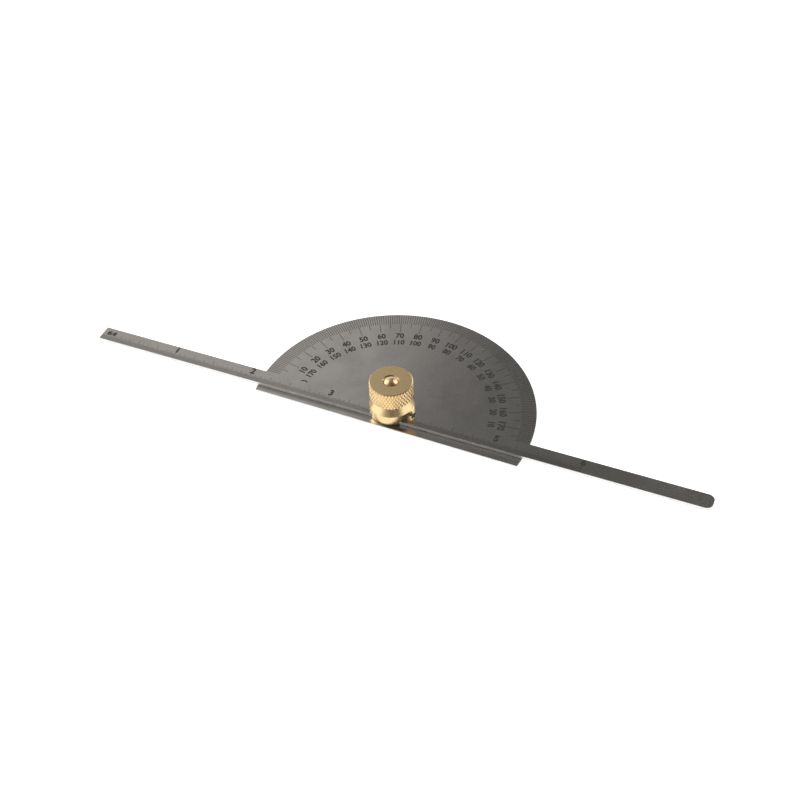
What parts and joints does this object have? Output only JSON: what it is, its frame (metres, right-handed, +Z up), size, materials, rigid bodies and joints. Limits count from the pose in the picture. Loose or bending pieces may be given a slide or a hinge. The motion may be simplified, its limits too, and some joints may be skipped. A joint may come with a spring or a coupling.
{
  "type": "bevel protractor with sliding rule",
  "caption": "Flat D-shaped steel protractor with a thin depth rule that slides and swings under a knurled brass clamp nut.",
  "frame": {"origin": "on the pivot axis at the underside of the clamp stud's head, the lowest point of the tool", "axes": "+X along the straight reference edge towards the high end of the outer degree row, +Y from the reference edge towards the degree scale, +Z up along the clamp stud"},
  "size_m": [0.189, 0.0484, 0.0136],
  "materials": {
    "satin_steel": "fine satin, grey, with black etched degree marks",
    "rule_steel": "fine satin, drawn lengthwise, with black etched inch marks",
    "turned_brass": "bright turned and knurled brass, bare"
  },
  "bodies": {
    "head": {"protractor_head": "satin_steel"},
    "stud": {"clamp_stud": "turned_brass"},
    "rule": {"rule": "rule_steel"},
    "collar": {"slotted_collar": "turned_brass"},
    "nut": {"knurled_nut": "turned_brass"}
  },
  "joints": [
    {"name": "swing", "type": "hinge", "parent": "head", "child": "stud", "pos_m": [0, 0, 0.0012], "axis": [0, 0, 1], "continuous": true},
    {"name": "rule_slide", "type": "slide", "parent": "stud", "child": "rule", "axis": [0.9999, 0.0136, 0], "range_m": [-0.086, 0.088]},
    {"name": "collar_lift", "type": "slide", "parent": "stud", "child": "collar", "axis": [0, 0, 1], "range_m": [0, 0.00141]},
    {"name": "nut_turn", "type": "hinge", "parent": "collar", "child": "nut", "pos_m": [0, 0, 0.0078], "axis": [0, 0, 1], "range_deg": [0, 720]}
  ],
  "couplings": [
    {"joint": "collar_lift", "follows": "nut_turn", "m_per_rad": 0.00011141}
  ]
}
